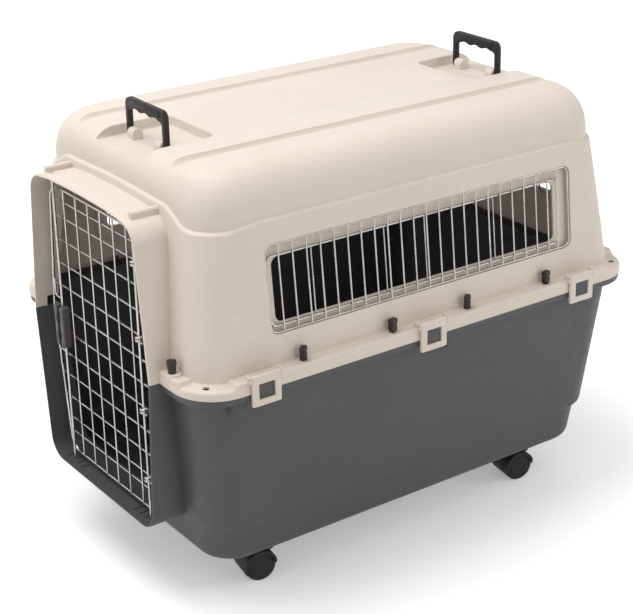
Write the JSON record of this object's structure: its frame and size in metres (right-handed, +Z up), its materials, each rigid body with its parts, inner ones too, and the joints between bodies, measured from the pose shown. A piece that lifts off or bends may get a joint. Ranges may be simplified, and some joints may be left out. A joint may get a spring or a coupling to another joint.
{
  "type": "pet travel crate",
  "caption": "Two-part moulded pet crate with a sprung wire door, wire window grilles, folding handles, swing clips, wing bolts and swivel casters.",
  "frame": {"origin": "centre of the footprint, on the floor under the casters", "axes": "+Z up; -Y is the door end; +X is the side with the door's hinge"},
  "size_m": [0.7, 1.02, 0.8655],
  "materials": {
    "beige_plastic": "fine moulded texture, warm pale beige",
    "grey_plastic": "fine moulded texture, mid grey",
    "dark_plastic": "satin black",
    "brown_plastic": "satin dark brown",
    "latch_plastic": "satin dark grey",
    "wire": "bright plated steel wire",
    "wheel_rubber": "hard black rubber"
  },
  "bodies": {
    "shell": {"upper_shell": "beige_plastic", "lower_shell": "grey_plastic", "window_grille_right": "wire", "window_grille_left": "wire", "rear_grille": "wire", "hinge_rod": "wire", "wing_bolt_right_1": "brown_plastic", "wing_bolt_right_2": "brown_plastic", "wing_bolt_right_3": "brown_plastic", "wing_bolt_right_4": "brown_plastic", "wing_bolt_left_1": "brown_plastic", "wing_bolt_left_2": "brown_plastic", "wing_bolt_left_3": "brown_plastic", "wing_bolt_left_4": "brown_plastic", "wing_bolt_front_right": "brown_plastic", "wing_bolt_rear_right": "brown_plastic", "wing_bolt_front_left": "brown_plastic", "wing_bolt_rear_left": "brown_plastic", "clip_pin_right_1": "wire", "clip_pin_right_2": "wire", "clip_pin_right_3": "wire", "clip_pin_left_1": "wire", "clip_pin_left_2": "wire", "clip_pin_left_3": "wire", "caster_stem_front_right": "dark_plastic", "caster_stem_rear_right": "dark_plastic", "caster_stem_front_left": "dark_plastic", "caster_stem_rear_left": "dark_plastic"},
    "door": {"door_mat": "wire", "latch_housing": "latch_plastic"},
    "latch_upper": {"latch_rod_upper": "wire", "latch_thumb_upper": "dark_plastic"},
    "latch_lower": {"latch_rod_lower": "wire", "latch_thumb_lower": "dark_plastic"},
    "handle_front": {"handle_front": "dark_plastic"},
    "handle_rear": {"handle_rear": "dark_plastic"},
    "clip_right_1": {"clip_right_1": "beige_plastic"},
    "clip_right_2": {"clip_right_2": "beige_plastic"},
    "clip_right_3": {"clip_right_3": "beige_plastic"},
    "clip_left_1": {"clip_left_1": "beige_plastic"},
    "clip_left_2": {"clip_left_2": "beige_plastic"},
    "clip_left_3": {"clip_left_3": "beige_plastic"},
    "caster_swivel_front_right": {"caster_hood_front_right": "dark_plastic"},
    "caster_roll_front_right": {"caster_wheels_front_right": "wheel_rubber"},
    "caster_swivel_rear_right": {"caster_hood_rear_right": "dark_plastic"},
    "caster_roll_rear_right": {"caster_wheels_rear_right": "wheel_rubber"},
    "caster_swivel_front_left": {"caster_hood_front_left": "dark_plastic"},
    "caster_roll_front_left": {"caster_wheels_front_left": "wheel_rubber"},
    "caster_swivel_rear_left": {"caster_hood_rear_left": "dark_plastic"},
    "caster_roll_rear_left": {"caster_wheels_rear_left": "wheel_rubber"}
  },
  "joints": [
    {"name": "door_swing", "type": "hinge", "parent": "shell", "child": "door", "pos_m": [0.15, -0.489, 0.166], "axis": [0, 0, 1], "range_deg": [0, 120]},
    {"name": "latch_upper_slide", "type": "slide", "parent": "door", "child": "latch_upper", "axis": [0, 0, 1], "range_m": [-0.009, 0], "stiffness_N_per_m": 300, "springref_m": 0.006},
    {"name": "latch_lower_slide", "type": "slide", "parent": "door", "child": "latch_lower", "axis": [0, 0, 1], "range_m": [0, 0.009], "stiffness_N_per_m": 300, "springref_m": -0.006},
    {"name": "handle_front_fold", "type": "hinge", "parent": "shell", "child": "handle_front", "pos_m": [0, -0.365, 0.8005], "axis": [-1, 0, 0], "range_deg": [0, 90]},
    {"name": "handle_rear_fold", "type": "hinge", "parent": "shell", "child": "handle_rear", "pos_m": [0, 0.383, 0.8005], "axis": [1, 0, 0], "range_deg": [0, 90]},
    {"name": "clip_right_1_swing", "type": "hinge", "parent": "shell", "child": "clip_right_1", "pos_m": [0.3465, -0.362, 0.4755], "axis": [0, -1, 0], "range_deg": [0, 100]},
    {"name": "clip_right_2_swing", "type": "hinge", "parent": "shell", "child": "clip_right_2", "pos_m": [0.3465, -0.004, 0.4755], "axis": [0, -1, 0], "range_deg": [0, 100]},
    {"name": "clip_right_3_swing", "type": "hinge", "parent": "shell", "child": "clip_right_3", "pos_m": [0.3465, 0.356, 0.4755], "axis": [0, -1, 0], "range_deg": [0, 100]},
    {"name": "clip_left_1_swing", "type": "hinge", "parent": "shell", "child": "clip_left_1", "pos_m": [-0.3465, -0.362, 0.4755], "axis": [0, 1, 0], "range_deg": [0, 100]},
    {"name": "clip_left_2_swing", "type": "hinge", "parent": "shell", "child": "clip_left_2", "pos_m": [-0.3465, -0.004, 0.4755], "axis": [0, 1, 0], "range_deg": [0, 100]},
    {"name": "clip_left_3_swing", "type": "hinge", "parent": "shell", "child": "clip_left_3", "pos_m": [-0.3465, 0.356, 0.4755], "axis": [0, 1, 0], "range_deg": [0, 100]},
    {"name": "caster_front_right_swivel", "type": "hinge", "parent": "shell", "child": "caster_swivel_front_right", "pos_m": [0.2146, -0.2843, 0.055], "axis": [0, 0, 1], "continuous": true},
    {"name": "caster_front_right_roll", "type": "hinge", "parent": "caster_swivel_front_right", "child": "caster_roll_front_right", "pos_m": [0.21008, -0.3099, 0.03], "axis": [0.9848, -0.1736, 0], "continuous": true},
    {"name": "caster_rear_right_swivel", "type": "hinge", "parent": "shell", "child": "caster_swivel_rear_right", "pos_m": [0.216, 0.3445, 0.055], "axis": [0, 0, 1], "continuous": true},
    {"name": "caster_rear_right_roll", "type": "hinge", "parent": "caster_swivel_rear_right", "child": "caster_roll_rear_right", "pos_m": [0.21193, 0.31882, 0.03], "axis": [0.9877, -0.1564, 0], "continuous": true},
    {"name": "caster_front_left_swivel", "type": "hinge", "parent": "shell", "child": "caster_swivel_front_left", "pos_m": [-0.2146, -0.2843, 0.055], "axis": [0, 0, 1], "continuous": true},
    {"name": "caster_front_left_roll", "type": "hinge", "parent": "caster_swivel_front_left", "child": "caster_roll_front_left", "pos_m": [-0.21912, -0.3099, 0.03], "axis": [0.9848, -0.1736, 0], "continuous": true},
    {"name": "caster_rear_left_swivel", "type": "hinge", "parent": "shell", "child": "caster_swivel_rear_left", "pos_m": [-0.216, 0.3445, 0.055], "axis": [0, 0, 1], "continuous": true},
    {"name": "caster_rear_left_roll", "type": "hinge", "parent": "caster_swivel_rear_left", "child": "caster_roll_rear_left", "pos_m": [-0.22007, 0.31882, 0.03], "axis": [0.9877, -0.1564, 0], "continuous": true}
  ]
}
